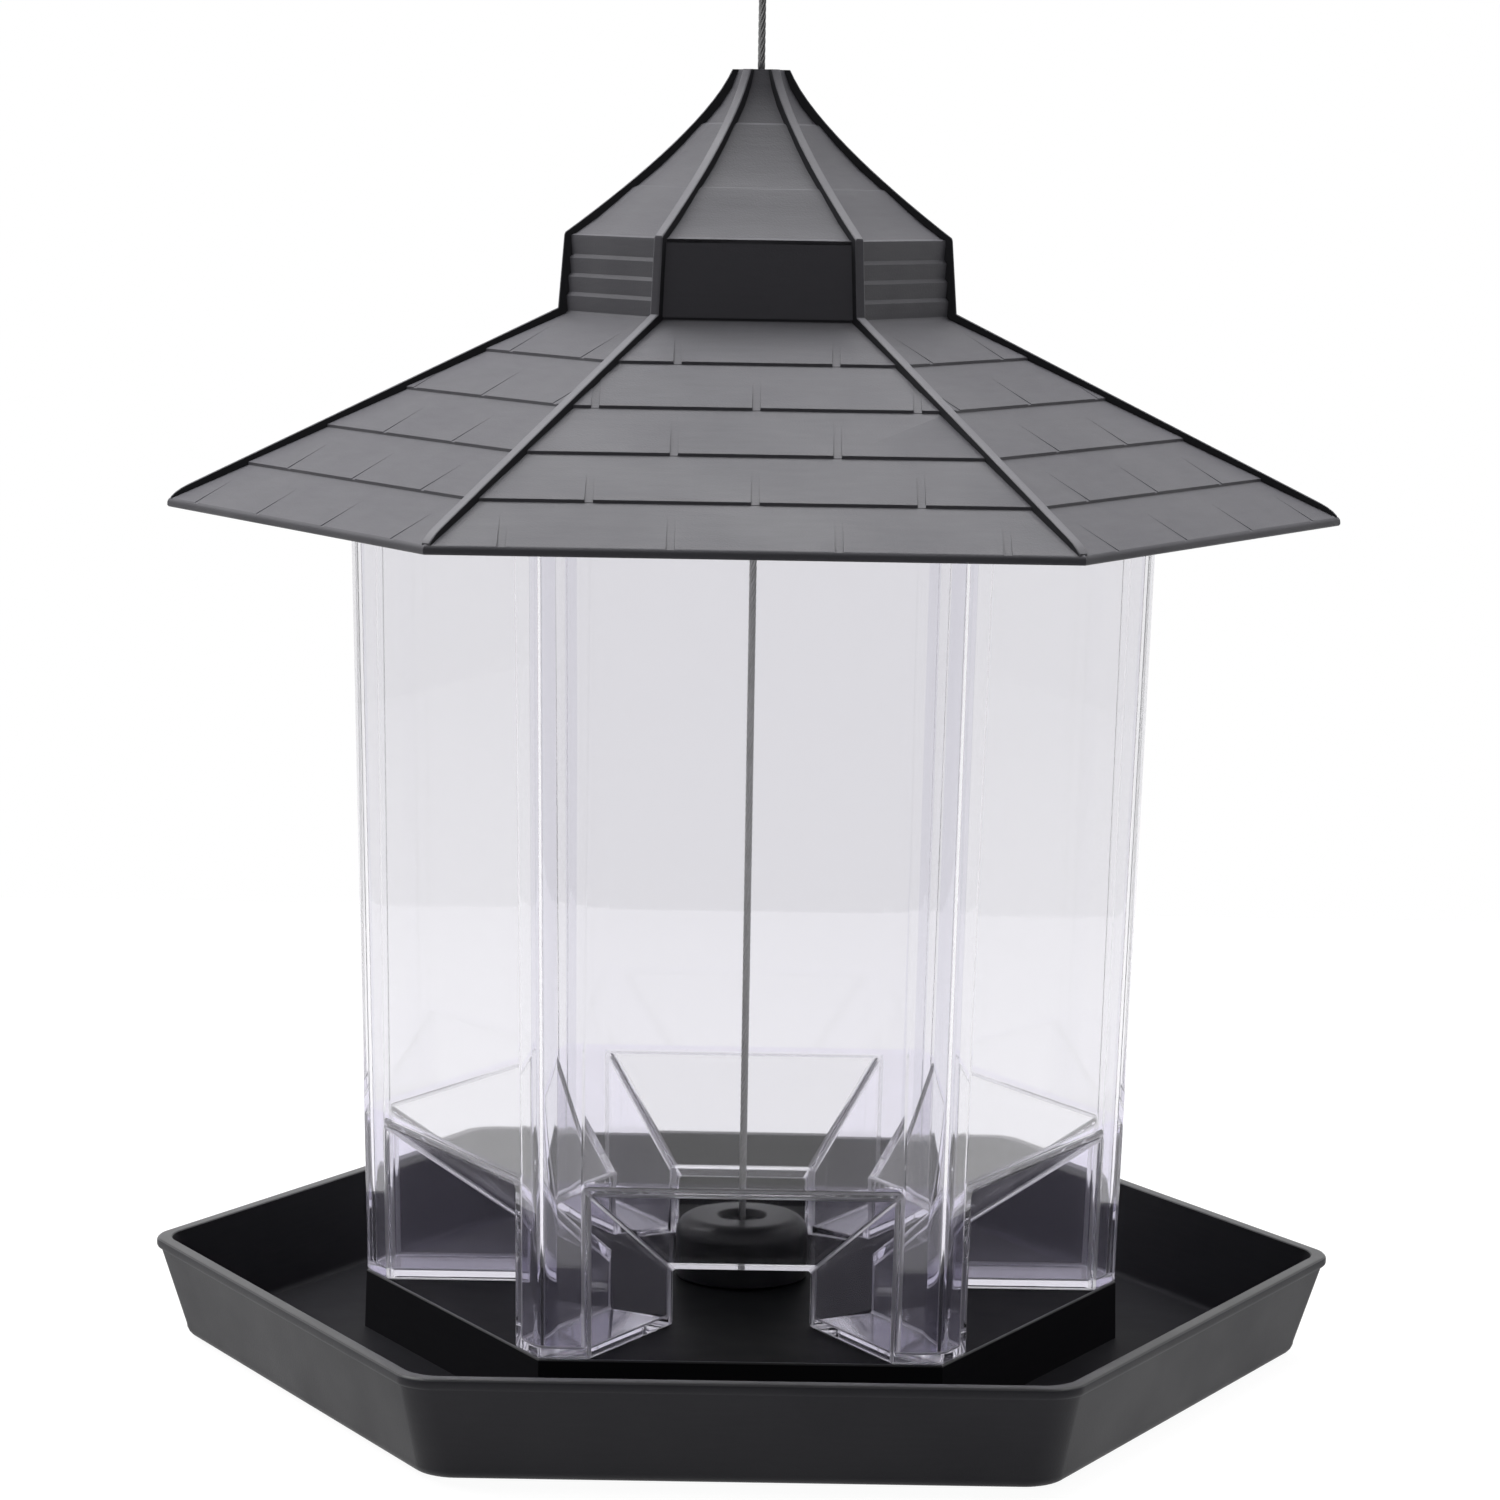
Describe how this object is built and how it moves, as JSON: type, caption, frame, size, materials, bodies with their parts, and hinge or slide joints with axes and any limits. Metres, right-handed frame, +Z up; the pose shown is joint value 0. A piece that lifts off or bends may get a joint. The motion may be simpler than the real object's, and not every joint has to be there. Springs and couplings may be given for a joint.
{
  "type": "hanging seed feeder",
  "caption": "Hexagonal gravity seed feeder: clear hopper under a shingled roof feeds an open tray through low ports, and the whole hangs from a thin steel cable.",
  "frame": {"origin": "centre of the tray's underside, where the cable's line meets the surface that the tray stands on", "axes": "+Z up along the cable, +X to a corner of the hexagon, -Y to the flat side that faces the viewer"},
  "size_m": [0.2398, 0.2096, 0.3395],
  "materials": {
    "tray_plastic": "satin moulded plastic, glossier inside the tray",
    "roof_plastic": "fine matte moulded texture",
    "clear_plastic": "clear polished moulding",
    "knob_plastic": "satin moulded plastic",
    "cable_steel": "twisted galvanised wire",
    "crimp_alloy": "pressed, lightly scuffed",
    "washer_steel": "zinc plated"
  },
  "bodies": {
    "tray": {"tray": "tray_plastic"},
    "hopper": {"hopper": "clear_plastic"},
    "roof": {"roof": "roof_plastic"},
    "lock_knob": {"lock_knob": "knob_plastic"},
    "cable": {"cable": "cable_steel", "eye_ferrule": "crimp_alloy", "stop_ferrule": "crimp_alloy", "stop_washer": "washer_steel"}
  },
  "joints": [
    {"name": "hopper_lift", "type": "slide", "parent": "tray", "child": "hopper", "axis": [0, 0, 1], "range_m": [0, 0.012]},
    {"name": "roof_lift", "type": "slide", "parent": "hopper", "child": "roof", "axis": [0, 0, 1], "range_m": [0, 0.028]},
    {"name": "knob_turn", "type": "hinge", "parent": "tray", "child": "lock_knob", "pos_m": [0, 0, 0.022], "axis": [0, 0, 1], "range_deg": [-90, 0]},
    {"name": "cable_swivel", "type": "hinge", "parent": "tray", "child": "cable", "pos_m": [0, 0, 0.023], "axis": [0, 0, 1], "continuous": true}
  ]
}
